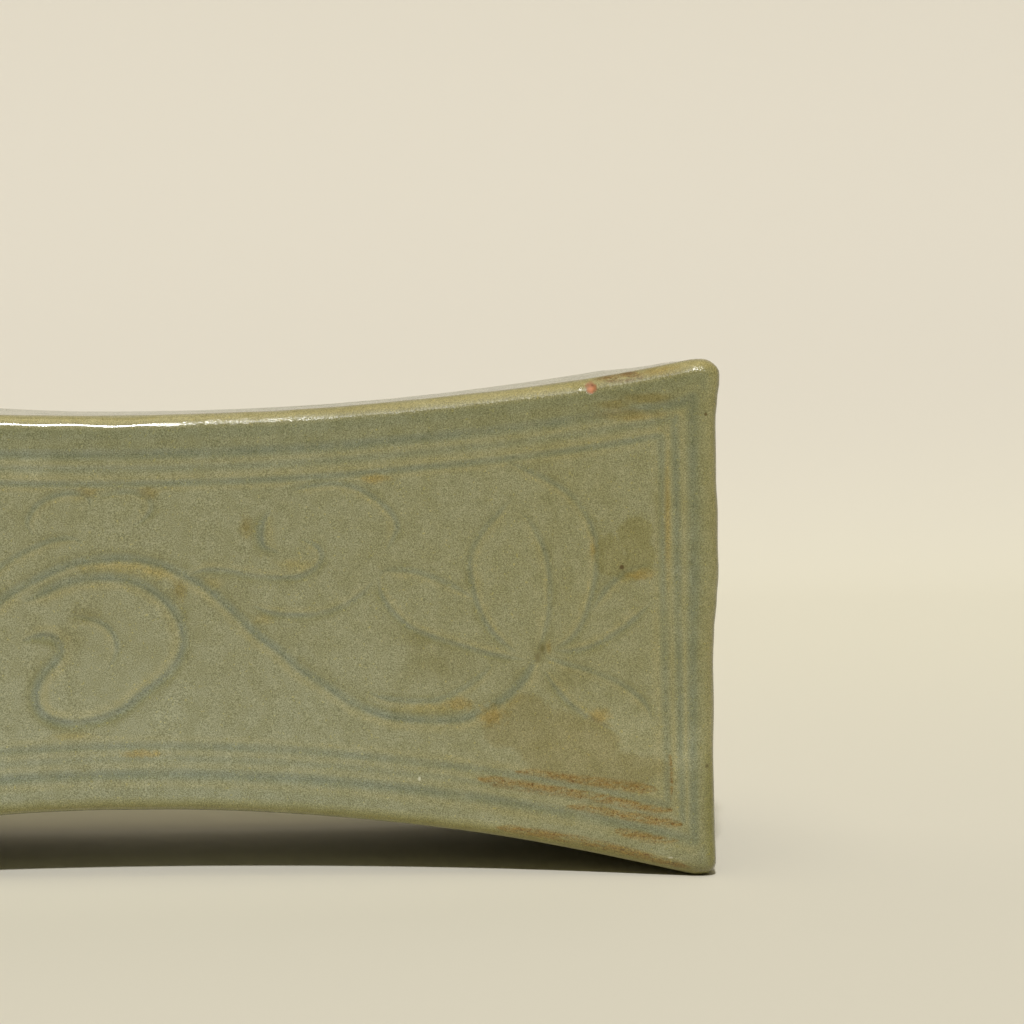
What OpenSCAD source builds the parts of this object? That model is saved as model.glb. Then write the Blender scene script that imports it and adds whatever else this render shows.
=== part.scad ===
// Waisted stoneware pillow: a hollow box luted together from six clay slabs.
// The four long sides draw in at the middle, and two flat end slabs close the tube.
// +X runs along the length, the front faces -Y, and the origin is under the middle at floor level.

/* [Overall size] */
// Length over both end slabs
pillow_l = 300; // [240:5:400]
// Depth from front to back, at the ends
pillow_w = 130; // [100:2:170]
// Height at the ends
pillow_h = 130; // [100:2:170]

/* [Waist] */
// How far the top sinks at the middle, where the neck rests
top_dip = 12.5; // [6:0.5:24]
// How far the underside rises at the middle
bottom_rise = 17; // [6:0.5:24]
// How far the front and the back each draw in at the middle
side_dip = 15; // [6:0.5:24]

/* [Slabs] */
// Thickness of the four long slabs
slab_t = 9; // [6:0.5:12]
// Thickness of the two end slabs
end_t = 6; // [5:0.5:12]
// Leg of the bevel that softens every outer edge
edge_bevel = 2.5; // [1:0.25:4]

/* [Luted joints] */
// Thickness of the slip between two slabs
slip_t = 1; // [0.5:0.1:2]
// How far the slip is wiped back below the outer surface
slip_inset = 1; // [0.5:0.1:3]
// Leg of the clay coil pressed into an inner corner
coil_leg = 9; // [5:0.5:14]

/* [Vent] */
// Diameter of the firing vent through the left end slab
vent_d = 5; // [3:0.5:8]

/* [Hidden] */
$fn = 256;

// Faces of the long sides, as the turn about X that brings +Z to the way each one looks
TOP = 0;
FRONT = 90;
BOTTOM = 180;
BACK = 270;
FACES = [TOP, FRONT, BOTTOM, BACK];
EDGES = [45, 135, 225, 315];

// Inner faces of the end slabs, where the curved sides begin
inner_x = pillow_l / 2 - end_t;
// Ends of the long slabs, with slip between them and the end slabs
tube_x = inner_x - slip_t;
// Longer than the pillow in any direction, for what cuts right through
through = 2 * (pillow_l + pillow_w + pillow_h);

GLAZED = "#8F8C66";
BISCUIT = "#C08A62";

// Distance from the long axis to the side that faces this way, measured at the ends
function reach(face) = abs(cos(face)) * pillow_h / 2 + abs(sin(face)) * pillow_w / 2;

// How far that side draws in at the middle
function dip(face) =
    abs(cos(face)) * (cos(face) > 0 ? top_dip : bottom_rise) + abs(sin(face)) * side_dip;

// Radius of the arc that draws in by that dip between the two end slabs
function arc_r(face) = (inner_x * inner_x + dip(face) * dip(face)) / (2 * dip(face));

// Everything outside a curved side, and a layer of this depth inside it
module outside(face, depth = 0) {
    translate([0, 0, pillow_h / 2]) rotate([face, 0, 0])
        translate([0, 0, reach(face) - dip(face) + arc_r(face)]) rotate([90, 0, 0])
            cylinder(r = arc_r(face) + depth, h = through, center = true);
}

// A stretch of the length, right across
module stretch(from_x, to_x) {
    translate([from_x, -through / 2, -through / 2]) cube([to_x - from_x, through, through]);
}

// Rectangle with its corners cut off
module bevelled_rectangle(a, b) {
    x = a / 2;
    y = b / 2;
    c = edge_bevel;
    polygon([[x, y - c], [x - c, y], [c - x, y], [-x, y - c], [-x, c - y], [c - x, -y], [x - c, -y], [x, c - y]]);
}

// Straight block with every edge bevelled, standing on the floor
module bevelled_block() {
    translate([0, 0, pillow_h / 2]) intersection() {
        linear_extrude(pillow_h, center = true) bevelled_rectangle(pillow_l, pillow_w);
        rotate([90, 0, 0]) linear_extrude(pillow_w, center = true) bevelled_rectangle(pillow_l, pillow_h);
        rotate([90, 0, 90]) linear_extrude(pillow_l, center = true) bevelled_rectangle(pillow_w, pillow_h);
    }
}

// The whole pillow as if it were solid: the block drawn in on four sides and bevelled along their edges
module envelope() {
    difference() {
        bevelled_block();
        for (face = FACES) outside(face);
        for (edge = EDGES) outside(edge, edge_bevel / sqrt(2));
    }
}

// Slab that runs over the edges of its two neighbours
module covering_slab(face) {
    color(GLAZED) intersection() {
        envelope();
        stretch(-tube_x, tube_x);
        outside(face, slab_t);
    }
}

// Slab that stands between the top and the bottom slab, with slip along both
module standing_slab(face) {
    color(GLAZED) difference() {
        intersection() {
            envelope();
            stretch(-tube_x, tube_x);
            outside(face, slab_t);
        }
        outside(TOP, slab_t + slip_t);
        outside(BOTTOM, slab_t + slip_t);
    }
}

// Flat slab at the right end
module end_slab() {
    intersection() {
        envelope();
        stretch(inner_x, pillow_l);
    }
}

// Slip along the joint of a covering and a standing slab
module long_seam(cover, stand) {
    color(BISCUIT) difference() {
        intersection() {
            stretch(-tube_x, tube_x);
            outside(cover, slab_t + slip_t);
            outside(stand, slab_t);
        }
        outside(cover, slab_t);
        outside(stand, slip_inset);
    }
}

// Frame of slip between the right end slab and the ends of the four long slabs
module end_seam() {
    color(BISCUIT) difference() {
        intersection() {
            stretch(tube_x, inner_x);
            union() for (face = FACES) outside(face, slab_t);
            translate([0, 0, pillow_h / 2]) cube([pillow_l, pillow_w, pillow_h], center = true);
        }
        for (face = FACES) outside(face, slip_inset);
    }
}

// Coil pressed along the inner corner of two long slabs
module long_coil(edge) {
    color(BISCUIT) difference() {
        intersection() {
            stretch(-tube_x, inner_x - coil_leg);
            outside(edge, (2 * slab_t + coil_leg) / sqrt(2));
        }
        outside(edge - 45, slab_t);
        outside((edge + 45) % 360, slab_t);
    }
}

// Straight three-cornered bar in the corner of the right end slab and a long slab
module corner_bar(face) {
    inner_z = reach(face) - slab_t;
    translate([0, 0, pillow_h / 2]) rotate([face, 0, 0]) rotate([90, 0, 0])
        linear_extrude(through, center = true)
            polygon([[inner_x, inner_z - coil_leg], [inner_x, inner_z], [inner_x - coil_leg, inner_z]]);
}

// Coil across the top or the bottom of the right end slab, from the front slab to the back slab
module end_coil_across(face) {
    color(BISCUIT) difference() {
        corner_bar(face);
        outside(face, slab_t);
        outside(FRONT, slab_t);
        outside(BACK, slab_t);
    }
}

// Coil up the front or the back of the right end slab, between the two coils across it
module end_coil_upright(face) {
    color(BISCUIT) difference() {
        corner_bar(face);
        outside(face, slab_t);
        outside(TOP, slab_t);
        outside(BOTTOM, slab_t);
        corner_bar(TOP);
        corner_bar(BOTTOM);
    }
}

module top_slab() { covering_slab(TOP); }
module bottom_slab() { covering_slab(BOTTOM); }
module front_slab() { standing_slab(FRONT); }
module back_slab() { standing_slab(BACK); }

module right_end_slab() { color(GLAZED) end_slab(); }
module left_end_slab() {
    color(GLAZED) difference() {
        mirror([1, 0, 0]) end_slab();
        translate([0, 0, pillow_h / 2]) rotate([0, 90, 0]) cylinder(d = vent_d, h = through, center = true);
    }
}

module top_front_seam() { long_seam(TOP, FRONT); }
module top_back_seam() { long_seam(TOP, BACK); }
module bottom_front_seam() { long_seam(BOTTOM, FRONT); }
module bottom_back_seam() { long_seam(BOTTOM, BACK); }
module right_end_seam() { end_seam(); }
module left_end_seam() { mirror([1, 0, 0]) end_seam(); }

module top_front_coil() { long_coil(45); }
module bottom_front_coil() { long_coil(135); }
module bottom_back_coil() { long_coil(225); }
module top_back_coil() { long_coil(315); }

// The left end slab closes the tube last, so no coil can be pressed behind it
module end_top_coil() { end_coil_across(TOP); }
module end_bottom_coil() { end_coil_across(BOTTOM); }
module end_front_coil() { end_coil_upright(FRONT); }
module end_back_coil() { end_coil_upright(BACK); }

top_slab();
bottom_slab();
front_slab();
back_slab();
left_end_slab();
right_end_slab();
top_front_seam();
top_back_seam();
bottom_front_seam();
bottom_back_seam();
left_end_seam();
right_end_seam();
top_front_coil();
top_back_coil();
bottom_front_coil();
bottom_back_coil();
end_top_coil();
end_bottom_coil();
end_front_coil();
end_back_coil();
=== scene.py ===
# %% [markdown]
# # A waisted celadon pillow
# A ceramic pillow is a headrest: a hollow box that potters luted together from clay slabs,
# incised, glazed and fired. Here the CAD parts give the places and sizes, and each glazed
# slab is made again with its soft edges, its carved lines and its glaze.

# %% Load the frame
import math

import bmesh
import bpy
from mathutils import Matrix, Vector, noise
from mathutils.kdtree import KDTree


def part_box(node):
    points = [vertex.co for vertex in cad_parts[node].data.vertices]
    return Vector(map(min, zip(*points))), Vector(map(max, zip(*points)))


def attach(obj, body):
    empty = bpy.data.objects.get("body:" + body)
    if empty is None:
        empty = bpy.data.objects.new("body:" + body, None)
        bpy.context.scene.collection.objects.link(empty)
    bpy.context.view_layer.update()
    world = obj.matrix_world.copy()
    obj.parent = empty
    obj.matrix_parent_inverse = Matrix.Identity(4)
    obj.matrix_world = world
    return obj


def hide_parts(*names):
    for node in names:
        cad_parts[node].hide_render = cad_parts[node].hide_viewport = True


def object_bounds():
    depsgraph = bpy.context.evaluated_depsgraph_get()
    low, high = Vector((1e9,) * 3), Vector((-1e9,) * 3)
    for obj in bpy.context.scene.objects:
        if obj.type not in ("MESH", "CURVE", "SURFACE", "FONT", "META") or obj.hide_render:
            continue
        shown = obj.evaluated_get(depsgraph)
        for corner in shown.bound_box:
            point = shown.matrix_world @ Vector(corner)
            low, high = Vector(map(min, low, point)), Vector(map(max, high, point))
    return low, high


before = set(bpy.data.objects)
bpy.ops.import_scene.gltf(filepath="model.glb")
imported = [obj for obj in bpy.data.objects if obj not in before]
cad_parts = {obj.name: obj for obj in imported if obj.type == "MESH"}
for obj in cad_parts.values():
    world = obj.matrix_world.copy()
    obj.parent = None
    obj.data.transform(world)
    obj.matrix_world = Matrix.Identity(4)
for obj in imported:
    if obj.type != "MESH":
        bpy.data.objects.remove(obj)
cad_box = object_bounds()
MM = 0.001
print("CAD box in mm:", [[round(c / MM, 1) for c in corner] for corner in cad_box])

# %% [markdown]
# The pillow is looked at nearly head-on, from about a metre, a little above its top edge.
# A long lens keeps the far edges from shrinking. The place, the turn and the lens below were
# fitted to the edges of the pillow in the photo, so that shapes can be compared one to one.

# %% Camera
CAMERA_PLACE = Vector((56.2, -912, 127)) * MM
CAMERA_TURN = math.radians(-2.84)
CAMERA_NOD = math.radians(-2.32)
CAMERA_ROLL = math.radians(-0.5)
LENS_MM = 119.4
SENSOR_MM = 36

lens = bpy.data.cameras.new("camera")
lens.lens = LENS_MM
lens.sensor_width = SENSOR_MM
camera = bpy.data.objects.new("camera", lens)
camera.matrix_world = (
    Matrix.Translation(CAMERA_PLACE)
    @ Matrix.Rotation(CAMERA_TURN, 4, "Z")
    @ Matrix.Rotation(math.pi / 2 + CAMERA_NOD, 4, "X")
    @ Matrix.Rotation(CAMERA_ROLL, 4, "Z")
)
bpy.context.collection.objects.link(camera)
bpy.context.scene.camera = camera
print("camera stands", round(CAMERA_PLACE.length, 3), "m from the origin")

# %% [markdown]
# Every slab starts as part of one straight block and is then drawn in towards the middle.
# The four long sides follow arcs that run from one end slab to the other. A border strip
# along each edge moves as a whole, so that lines drawn beside an edge stay parallel to it.

# %% The waist
TOP_DIP = 12.5 * MM
BOTTOM_RISE = 17 * MM
SIDE_DIP = 15 * MM
BORDER = 19 * MM

half_l = cad_box[1].x
half_w = cad_box[1].y
height = cad_box[1].z
half_h = height / 2
end_low, end_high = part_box("right_end_slab")
inner_x = end_low.x


def arc_dip(x, dip):
    """How far a long side has drawn in at x."""
    radius = (inner_x**2 + dip**2) / (2 * dip)
    return dip - radius + math.sqrt(radius**2 - min(abs(x), inner_x) ** 2)


def clamp(value, low=-1.0, high=1.0):
    """The value, kept between two limits."""
    return max(low, min(high, value))


def waisted(co):
    """Moves a point of the straight block to its place on the waisted pillow."""
    across = clamp(co.y / (half_w - BORDER))
    up = clamp((co.z - half_h) / (half_h - BORDER))
    dip = TOP_DIP if up > 0 else BOTTOM_RISE
    return Vector((
        co.x,
        co.y - across * arc_dip(co.x, SIDE_DIP),
        co.z - up * arc_dip(co.x, dip),
    ))


middle_top = waisted(Vector((0, 0, height))).z
middle_bottom = waisted(Vector((0, 0, 0))).z
panel_middle = (middle_top + middle_bottom) / 2
print("height at the middle:", round((middle_top - middle_bottom) / MM, 1), "mm")

# %% [markdown]
# The lines were cut into damp clay with a knife or a bamboo point. Each is given by a few
# points, in millimetres to the right of the middle and above the ground, and a smooth curve is
# run through them. A stroke is thin and shallow where the tool enters and leaves. The blade was
# held at a slant, so one side of a stroke is steep and the other slopes away.

# %% Strokes
# lengths in mm, as in the drawing
STEP = 0.2
TAPER = 5.0
LIGHT_PRESS = 0.35


def smooth_path(points):
    """A smooth curve through the given points, in short even steps."""
    ends = [points[0], *points, points[-1]]
    path = []
    for a, b, c, d in zip(ends, ends[1:], ends[2:], ends[3:]):
        a, b, c, d = (Vector(p) for p in (a, b, c, d))
        steps = max(1, round((c - b).length / STEP))
        for i in range(steps):
            t = i / steps
            path.append(
                0.5 * (2 * b + (c - a) * t + (2 * a - 5 * b + 4 * c - d) * t**2
                       + (3 * b - 3 * c + d - a) * t**3)
            )
    return path + [Vector(points[-1])]


def stroke(points, put, inward, width, depth, side):
    """Samples of one stroke: place, way into the clay, way up its slope, half width, depth."""
    places = [put(point) for point in smooth_path(points)]
    last = len(places) - 1
    samples = []
    for i, place in enumerate(places):
        ahead = places[min(i + 1, last)] - places[max(i - 1, 0)]
        slope = ahead.cross(inward).normalized() * side
        entered = clamp(min(i, last - i) * STEP / TAPER, 0, 1)
        press = LIGHT_PRESS + (1 - LIGHT_PRESS) * entered
        samples.append((place, inward, slope, width / 2 * press * MM, depth * press * MM))
    return samples


print("a stroke is sampled every", STEP, "mm")

# %% [markdown]
# The front carries a lotus scroll. A stem waves along the panel, throws out lobed leaves that
# curl at their tips, and ends in a flower at either side. The right two thirds were read from
# the photo. The left third, which is out of the picture, repeats them the other way round.

# %% The scroll
STEM = [
    (-104, 55), (-101, 50), (-97, 46), (-92, 43), (-86, 40.4), (-78, 40), (-70, 40.8), (-64, 42.5),
    (-58, 45.5), (-52, 49.5), (-46, 54.5), (-40, 61), (-34, 68), (-28, 73), (-16, 79), (-8, 81),
    (1, 81.5), (9, 80), (16, 77), (22, 73.5), (28, 68), (34, 62), (40, 57.5), (45, 53), (52, 48.5),
    (58, 44.5), (64, 42), (70, 40.5), (78, 40), (86, 40.4), (92, 43), (97, 46), (101, 50), (104, 55),
]
# the side on which each stroke slopes, and points along it
FLOWER = [
    (1, [(64.5, 76), (66.5, 77.7), (70, 78), (74, 77.5), (78, 76.2), (82, 74.5), (85, 73), (88, 71)]),
    (-1, [(64.7, 75.5), (65.5, 71.5), (67.5, 68), (70, 65.3), (73, 63), (77, 61.2), (81, 59.8),
     (87, 58), (94, 56), (101, 55)]),
    (-1, [(98, 95), (95, 92), (91.5, 88), (88.7, 83.5), (87.7, 79.5), (88.2, 74.5), (89.5, 69),
     (91.5, 64.5), (94.5, 60.5), (99, 57)]),
    (1, [(101, 92), (103, 90), (105.3, 86), (107.2, 81), (108, 75.5), (108, 70), (107.5, 65),
     (106.3, 60.5), (104.7, 57.5)]),
    (1, [(98.5, 104.5), (103, 102.7), (108, 100.3), (113, 97), (116.7, 92.5), (119, 87), (119.8, 81),
     (119.3, 75), (118, 69.5), (116, 64), (113, 60), (108.5, 57.5)]),
    (1, [(118.5, 67.5), (121.5, 72.3), (125, 75.7), (129.5, 78.3), (133, 79)]),
    (-1, [(109, 57.3), (113, 57), (117, 57.7), (121.5, 59.8), (126, 62.7), (130, 66), (133, 69.3)]),
    (1, [(107, 55.5), (112, 54), (117, 52.6), (121.5, 51), (126, 48.8), (129.8, 46), (132.3, 43),
     (133, 40)]),
    (-1, [(106.5, 52), (108.5, 48.5), (112, 44.3), (116, 41), (119.5, 39.2), (124, 37)]),
    (1, [(62, 47), (66, 45.6), (72, 44.8), (78, 44.8), (82, 45.8), (86, 48), (90, 50.7), (93.5, 54)]),
]
LEAF_CROWN = [
    (43, 98.3), (48, 99.5), (53, 100), (58, 99.3), (62, 97.5), (66, 94.7), (69, 91.3), (69.8, 88.5),
    (68.5, 85.5), (67, 83),
]
LEAF_HOOK = [(37.5, 93), (35.5, 90), (35, 86.5), (36, 83.7), (39.5, 82.5)]
LEAF_EDGE = [(42, 66.5), (48, 66.5), (53, 67.5), (57.5, 69.5), (61, 72), (63.5, 75)]
LEAF_CURL = [(40, 76), (45, 76.3), (49, 78.5), (50.7, 81.5), (49, 84.3), (45.5, 85.7)]
LEAF_ROOT = [(17, 77), (21, 78), (27, 77.7), (34, 76.3)]
LEAF_HEEL = [(33, 69), (37, 67.2)]
SPIRAL_LEAF = [
    (-24, 71), (-18, 74), (-12, 76), (-4, 76.7), (3, 75.6), (8, 73), (12, 69.5), (14.7, 65),
    (15.5, 60), (14.2, 55.5), (10.5, 51), (5, 47), (0, 43), (-6, 40.5), (-13, 39.5), (-19, 40.8),
    (-22, 44), (-22.3, 48), (-20.5, 52), (-17.5, 55.3), (-16, 58.3), (-17.3, 61), (-21, 61.8),
    (-25, 60.8),
]
SPIRAL_HEART = [(-14, 66.7), (-9, 66.3), (-5, 64.8), (-2.5, 62.3), (-1.5, 59), (-2.2, 56), (-4.2, 53)]
CLOUD = [
    (1, [(-22.3, 87.3), (-23.8, 90.5), (-22.3, 94), (-19, 96.5), (-14.5, 97.9), (-10.5, 97.8),
     (-8, 96.2), (-8.3, 94)]),
    (1, [(-5, 97), (-1, 98.1), (4, 97.9), (7, 96.2), (7.7, 93.7), (5.5, 91), (3, 89.5)]),
    (1, [(-48, 58), (-41, 69), (-36, 75), (-31, 79.5), (-27, 82), (-22, 84.5), (-17, 86.2),
     (-12.5, 86.5), (-10, 85.3)]),
]
print("the flower has", len(FLOWER), "strokes and the cloud", len(CLOUD))

# %% [markdown]
# The stem, the spiral leaf and the hooks are cut broad and deep, and the rest is fine. The flower
# and the tip of the leaf are cut again on the left, with their slopes turned round as well. The
# stem runs through both halves.

# %% Fine and broad strokes
# widths and depths in mm
LINE_WIDTH = 1.6
LINE_DEPTH = 0.11
BROAD_WIDTH = 2.5
BROAD_DEPTH = 0.15


def mirrored(strokes):
    """The same strokes on the other side of the middle."""
    return [(-side, [(-x, z) for x, z in points]) for side, points in strokes]


leaf_tip = [(-1, LEAF_CURL), (-1, LEAF_EDGE), (1, LEAF_CROWN)]
fine_strokes = FLOWER + CLOUD + [(1, SPIRAL_HEART), (1, LEAF_CROWN)]
fine_strokes += [(-1, LEAF_ROOT + LEAF_CURL), (-1, LEAF_HEEL + LEAF_EDGE)]
fine_strokes += mirrored(FLOWER + leaf_tip)
broad_strokes = [(1, STEM), (1, SPIRAL_LEAF), (-1, LEAF_HOOK)] + mirrored([(-1, LEAF_HOOK)])


def scroll(put, inward):
    """All strokes of the scroll on one side of the pillow."""
    samples = []
    for side, points in fine_strokes:
        samples += stroke(points, put, inward, LINE_WIDTH, LINE_DEPTH, side)
    for side, points in broad_strokes:
        samples += stroke(points, put, inward, BROAD_WIDTH, BROAD_DEPTH, side)
    return samples


print("the scroll has", len(fine_strokes) + len(broad_strokes), "strokes")

# %% [markdown]
# Three lines frame each panel. The outermost lies on the joint of the slabs, where the potter
# wiped the slip back. The two others were ruled beside it. They are drawn on the straight block
# and drawn in with it, so they follow the curved edges.

# %% Frame lines
SLAB = 9 * MM
SLIP = 1 * MM
joint = SLAB + SLIP / 2
joint_x = inner_x - SLIP / 2
# gap from the edge, width and depth of each ruled line, in mm
RULED_TOP = [(13.6, 1.9, 0.08), (17.4, 1.7, 0.13)]
RULED_BOTTOM = [(13.3, 1.6, 0.06), (16.6, 2.2, 0.11)]
RULED_END = [(10.7, 2.2, 0.15), (14.2, 2.2, 0.1)]
END_LEAN = 1.1 * MM
JOINT_WIDTH = 2.9
JOINT_DEPTH = 0.13

FRONT = Vector((0, -1, 0))
BACK = Vector((0, 1, 0))
UP = Vector((0, 0, 1))
RIGHT = Vector((1, 0, 0))
LEVEL = Vector((0, 0, 0))


def ruled(start, end, inward, width=JOINT_WIDTH, depth=JOINT_DEPTH):
    """A straight line on the block, drawn in with it."""
    steps = round((end - start).length / (STEP * MM))
    places = [waisted(start.lerp(end, i / steps)) for i in range(steps + 1)]
    return [(place, inward, LEVEL, width / 2 * MM, depth * MM) for place in places]


def ruled_frame(put, inward, top_line, bottom_line, end_line):
    """Four ruled lines round one side; put lays a point, in metres from the middle, on the block."""
    (top, *top_cut), (bottom, *bottom_cut), (end, *end_cut) = top_line, bottom_line, end_line
    high = half_h - top * MM
    low = bottom * MM - half_h
    x = half_l - end * MM
    foot_x = x + END_LEAN
    samples = ruled(put(-x, high), put(x, high), inward, *top_cut)
    samples += ruled(put(-foot_x, low), put(foot_x, low), inward, *bottom_cut)
    for side in (-1, 1):
        samples += ruled(put(side * foot_x, low), put(side * x, high), inward, *end_cut)
    return samples


def on_front_block(a, b):
    """A point on the front of the straight block."""
    return Vector((a, -half_w, half_h + b))


def on_top_block(a, b):
    """A point on the top of the straight block."""
    return Vector((a, b, height))


front_cuts = []
top_cuts = []
for top_line, bottom_line, end_line in zip(RULED_TOP, RULED_BOTTOM, RULED_END):
    front_cuts += ruled_frame(on_front_block, -FRONT, top_line, bottom_line, end_line)
    top_cuts += ruled_frame(on_top_block, -UP, top_line, top_line, end_line)
print("ruled samples on the front:", len(front_cuts))

# %% [markdown]
# The scroll is drawn on the finished curve, not on the straight block, because its points were
# read from the photo. The top carries the same drawing, laid flat.

# %% Scroll on the front and the top
def on_front(point):
    """A point of the drawing, in millimetres, on the curved front."""
    x, z = point * MM
    return Vector((x, arc_dip(x, SIDE_DIP) - half_w, z))


def on_top(point):
    """A point of the drawing laid on the curved top, its upper edge away from the front."""
    x, z = point * MM
    return Vector((x, z - panel_middle, height - arc_dip(x, TOP_DIP)))


front_cuts += scroll(on_front, -FRONT)
top_cuts += scroll(on_top, -UP)
print("front samples:", len(front_cuts), "top samples:", len(top_cuts))

# %% [markdown]
# The joints run along the four long edges and across both ends. Every slab that meets at a joint
# takes its half of the line, so the two halves make one soft groove. At the corners the potter
# wiped the joint smooth.

# %% Joint lines
TOP_JOINT_DROP = 0.5 * MM


def joint_ring(x):
    """The joint lines beside an end slab, one on each of the four long sides."""
    samples = []
    for turn in range(4):
        spin = Matrix.Rotation(turn * math.pi / 2, 3, "X")
        ends = [Vector((x, end, half_h)) for end in (joint - half_w, half_w - joint)]
        start, stop = (Vector((0, 0, half_h)) + spin @ end for end in ends)
        samples += ruled(start, stop, -(spin @ UP))
    return samples


joint_cuts = joint_ring(-joint_x) + joint_ring(joint_x)
for z in (joint, height - joint - TOP_JOINT_DROP):
    for y, inward in ((-half_w, -FRONT), (half_w, -BACK)):
        joint_cuts += ruled(Vector((-joint_x, y, z)), Vector((joint_x, y, z)), inward)
print("joint samples:", len(joint_cuts))

# %% [markdown]
# A slab is cut from a rolled sheet of clay with a wire, so it starts as a plain block. Its outer
# edges are rubbed round with a wet finger, which is a bevel in several steps.

# %% Slab blanks
EDGE_R = 4 * MM
EDGE_STEPS = 6
NEAR = 0.01 * MM


def blank(low, high):
    """A plain block of clay between two corners."""
    bm = bmesh.new()
    low, high = Vector(low), Vector(high)
    place = Matrix.LocRotScale((low + high) / 2, None, high - low)
    bmesh.ops.create_cube(bm, size=1, matrix=place)
    return bm


def is_outer(co):
    """How many of the block's outer sides this point lies on."""
    sides = (half_l - abs(co.x), half_w - abs(co.y), co.z, height - co.z)
    return sum(side < NEAR for side in sides)


def round_edges(bm):
    """Rounds each edge where two outer sides of the block meet."""
    edges = [e for e in bm.edges if is_outer((e.verts[0].co + e.verts[1].co) / 2) >= 2]
    bmesh.ops.bevel(
        bm, geom=edges, offset=EDGE_R, offset_type="OFFSET", segments=EDGE_STEPS,
        profile=0.5, affect="EDGES", material=-1,
    )
    return len(edges)


print("outer edges are rounded to", round(EDGE_R / MM, 1), "mm")

# %% [markdown]
# A straight block can bend only where it has points, so each slab is cut into rows along its
# length. A long slab is cut across on the outside alone, where the carving needs the points.

# %% Rows
PITCH = 1.8 * MM
STRAIGHT = 0.9999


def cut_rows(bm, axis, pitch, on_outside=True):
    """Cuts the edges that run along one axis into steps of about one pitch."""
    groups = {}
    for edge in bm.edges:
        run = edge.verts[1].co - edge.verts[0].co
        along = abs(run[axis]) > STRAIGHT * run.length
        outside = all(is_outer(v.co) for v in edge.verts)
        if along and (outside or not on_outside):
            cuts = math.ceil(run.length / pitch) - 1
            groups.setdefault(cuts, []).append(edge)
    for cuts, edges in groups.items():
        if cuts > 0:
            bmesh.ops.subdivide_edges(bm, edges=edges, cuts=cuts, use_grid_fill=True)


def long_slab(low, high, across):
    """A long slab: edges rounded, cut into rows along and, outside, across."""
    bm = blank(low, high)
    rounded = round_edges(bm)
    cut_rows(bm, 0, PITCH, on_outside=False)
    for axis in across:
        cut_rows(bm, axis, PITCH)
    print("blank with", rounded, "rounded edges and", len(bm.faces), "faces")
    return bm


top_blank = long_slab((-joint_x, -half_w, height - joint), (joint_x, half_w, height), (1, 2))
bottom_blank = long_slab((-joint_x, -half_w, 0), (joint_x, half_w, joint), (1, 2))
front_blank = long_slab((-joint_x, -half_w, joint), (joint_x, SLAB - half_w, height - joint), (2,))

# %% [markdown]
# The glaze draws away from sharp edges and pools in hollows while it is molten. So each point
# of the surface keeps marks for the glaze to read: how deep it lies in a line, how near it is to
# the lip on the steep side of a line, how far down the sloping side, and how near to an edge. Some
# marks also say where light and shade are painted into the colour: shade in the core of a line, on
# its sloping side and in the bands beside the joints, and a sheen on the rim of the top. The
# edges are marked first, on the straight block, and then the slabs are bent.

# %% Edge marks and bending
BAND_SOFT = 1.5 * MM
LOW_BAND = 0.4
TOP_RIM_BAND = 8 * MM
TOP_RIM_FADE = 1.5


def mark_edges(bm):
    """Marks the points near an edge of the block, in the bands along it, and on the rim of the top."""
    edge_mark = bm.verts.layers.float.new("edge")
    band_mark = bm.verts.layers.float.new("band")
    top_mark = bm.verts.layers.float.new("top")
    for v in bm.verts:
        to_end = half_l - abs(v.co.x)
        to_top = height - v.co.z
        to_side = half_w - abs(v.co.y)
        gaps = sorted((to_end, to_side, min(v.co.z, to_top)))
        v[edge_mark] = clamp(1 - gaps[1] / EDGE_R, 0, 1)
        # the bands beside the joints get painted shade, partly bluish glaze pooled there
        from_joint = min(to_top - joint, to_end + joint_x - half_l)
        high_band = clamp(0.5 - from_joint / BAND_SOFT, 0, 1)
        low_band = LOW_BAND * clamp(0.5 - (v.co.z - joint) / BAND_SOFT, 0, 1)
        v[band_mark] = max(high_band, low_band)
        # the rim of the top puckers, and gets a painted sheen
        near_rim = clamp(TOP_RIM_FADE - min(to_end, to_side) / TOP_RIM_BAND, 0, 1)
        v[top_mark] = near_rim * clamp(1 - to_top / EDGE_R, 0, 1)


def bend(bm):
    """Draws the block in to the waisted form."""
    for v in bm.verts:
        v.co = waisted(v.co)


for bm in (top_blank, front_blank, bottom_blank):
    mark_edges(bm)
    bend(bm)
print("three long slabs marked and bent")

# %% [markdown]
# A line is about two millimetres wide, too narrow for the rows, so the faces near it are cut finer.
# A search tree finds the nearest sample of any stroke without trying them all.

# %% Finer faces
FINE_REACH = 1.2
FINEST = 0.6 * MM
PASSES = 2


def sample_tree(cuts):
    """A search tree over the places of all stroke samples."""
    tree = KDTree(len(cuts))
    for i, sample in enumerate(cuts):
        tree.insert(sample[0], i)
    tree.balance()
    return tree


def refine(bm, tree, cuts):
    """Cuts the faces near a stroke finer, so that they can hold its shape."""
    for _ in range(PASSES):
        edges = set()
        for face in bm.faces:
            _, index, gap = tree.find(face.calc_center_median())
            size = math.sqrt(face.calc_area())
            near = gap < FINE_REACH * cuts[index][3] + size / 2
            if near and FINEST < size < 2 * PITCH:
                edges.update(face.edges)
        bmesh.ops.subdivide_edges(bm, edges=list(edges), cuts=1, use_grid_fill=True)
        many_sided = [f for f in bm.faces if len(f.verts) > 4]
        bmesh.ops.triangulate(bm, faces=many_sided)


print("faces near a line are cut finer", PASSES, "times")

# %% [markdown]
# Across a line the clay goes down in a soft hollow. The slanted blade leaves a lip on the steep side
# and draws the hollow out on the other. Places across a line are counted in its half widths. The
# bottom slab faces the bed, so it gets the joint lines alone.

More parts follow.
